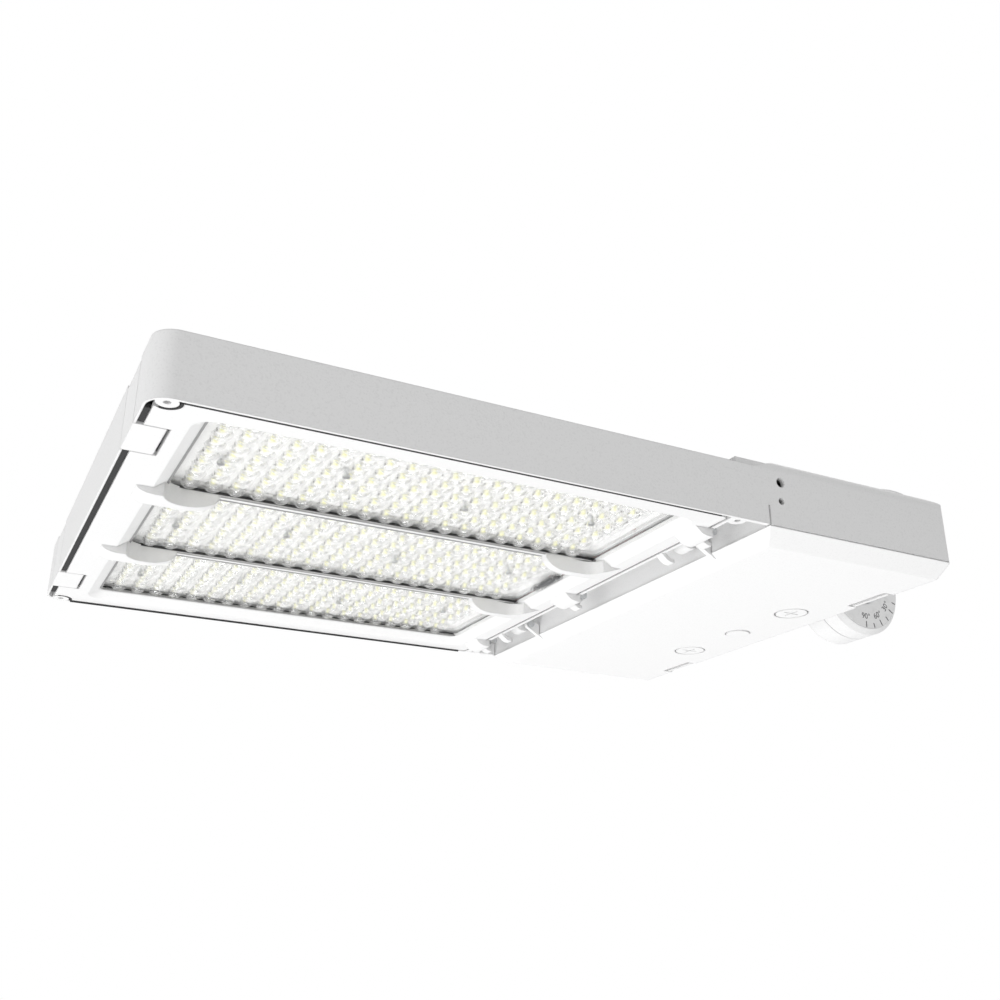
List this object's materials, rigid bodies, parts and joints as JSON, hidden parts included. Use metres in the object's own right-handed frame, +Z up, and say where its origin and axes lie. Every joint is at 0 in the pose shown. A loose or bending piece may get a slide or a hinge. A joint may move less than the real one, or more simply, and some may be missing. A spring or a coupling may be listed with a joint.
{
  "type": "flood light",
  "caption": "White die-cast LED area flood light: flat head with domed lens modules in a hinged optic frame, hinged wiring door, and a toothed slipfitter knuckle for a pole tenon.",
  "frame": {"origin": "centre of the slipfitter cup's mouth", "axes": "+X from the lamp end to the rear, +Z up, lamps facing -Z; the cup's axis points 49 degrees up and back"},
  "size_m": [0.674, 0.352, 0.1436],
  "materials": {
    "casting": "white powder coat, fine texture",
    "bezel": "white powder coat, fine texture",
    "lens": "clear optical acrylic",
    "board": "white solder mask with pale yellow chips",
    "seal": "matte",
    "steel": "zinc plated",
    "painted_screw": "white",
    "driver_case": "satin",
    "wire": "insulation",
    "ground_wire": "insulation",
    "terminal": "matte",
    "surge_case": "matte",
    "dial_plate": "matte, engraved scale",
    "green_screw": "green dyed"
  },
  "bodies": {
    "cup": {"slipfitter_cup": "casting", "cup_bolts": "steel", "cup_bush": "seal", "tooth_ring_cup": "steel", "knuckle_bolt": "steel", "knuckle_nut": "steel", "knuckle_washer": "steel", "pointer": "steel"},
    "head": {"housing": "casting", "lens_near": "lens", "lens_mid": "lens", "lens_far": "lens", "board_near": "board", "board_mid": "board", "board_far": "board", "lens_gaskets": "seal", "lens_screws": "steel", "board_leads": "wire", "lead_grommet": "seal", "led_driver": "driver_case", "driver_screws": "steel", "terminal_block": "terminal", "surge_protector": "surge_case", "ground_screw": "green_screw", "bay_leads": "ground_wire", "frame_hinge_pins": "steel", "door_hinge_pins": "steel", "latch_pins": "steel", "latch_springs": "steel", "knuckle_arm": "casting", "arm_gasket": "seal", "arm_bolts": "steel", "dial": "dial_plate", "tooth_ring_head": "steel"},
    "frame": {"optic_frame": "bezel"},
    "latch_near": {"latch_near": "bezel"},
    "latch_far": {"latch_far": "bezel"},
    "door": {"door": "casting", "door_gasket": "seal", "door_plug": "casting", "screw_retainers": "steel"},
    "door_screw_near": {"door_screw_near": "painted_screw"},
    "door_screw_far": {"door_screw_far": "painted_screw"}
  },
  "joints": [
    {"name": "tilt", "type": "hinge", "parent": "cup", "child": "head", "pos_m": [-0.06134, 0, -0.07057], "axis": [0, 1, 0], "range_deg": [-139, 41]},
    {"name": "frame_swing", "type": "hinge", "parent": "head", "child": "frame", "pos_m": [-0.30874, 0, -0.10637], "axis": [0, -1, 0], "range_deg": [0, 70]},
    {"name": "door_swing", "type": "hinge", "parent": "head", "child": "door", "pos_m": [-0.30074, 0, -0.10386], "axis": [0, 1, 0], "range_deg": [0, 50]},
    {"name": "latch_near_swing", "type": "hinge", "parent": "head", "child": "latch_near", "pos_m": [-0.64024, -0.1255, -0.08336], "axis": [0, 1, 0], "range_deg": [0, 25], "stiffness_Nm_per_rad": 0.05, "springref_deg": -11.46},
    {"name": "latch_far_swing", "type": "hinge", "parent": "head", "child": "latch_far", "pos_m": [-0.64024, 0.1255, -0.08336], "axis": [0, 1, 0], "range_deg": [0, 25], "stiffness_Nm_per_rad": 0.05, "springref_deg": -11.46},
    {"name": "screw_near_travel", "type": "slide", "parent": "door", "child": "door_screw_near", "axis": [0, 0, -1], "range_m": [0, 0.006]},
    {"name": "screw_far_travel", "type": "slide", "parent": "door", "child": "door_screw_far", "axis": [0, 0, -1], "range_m": [0, 0.006]}
  ]
}
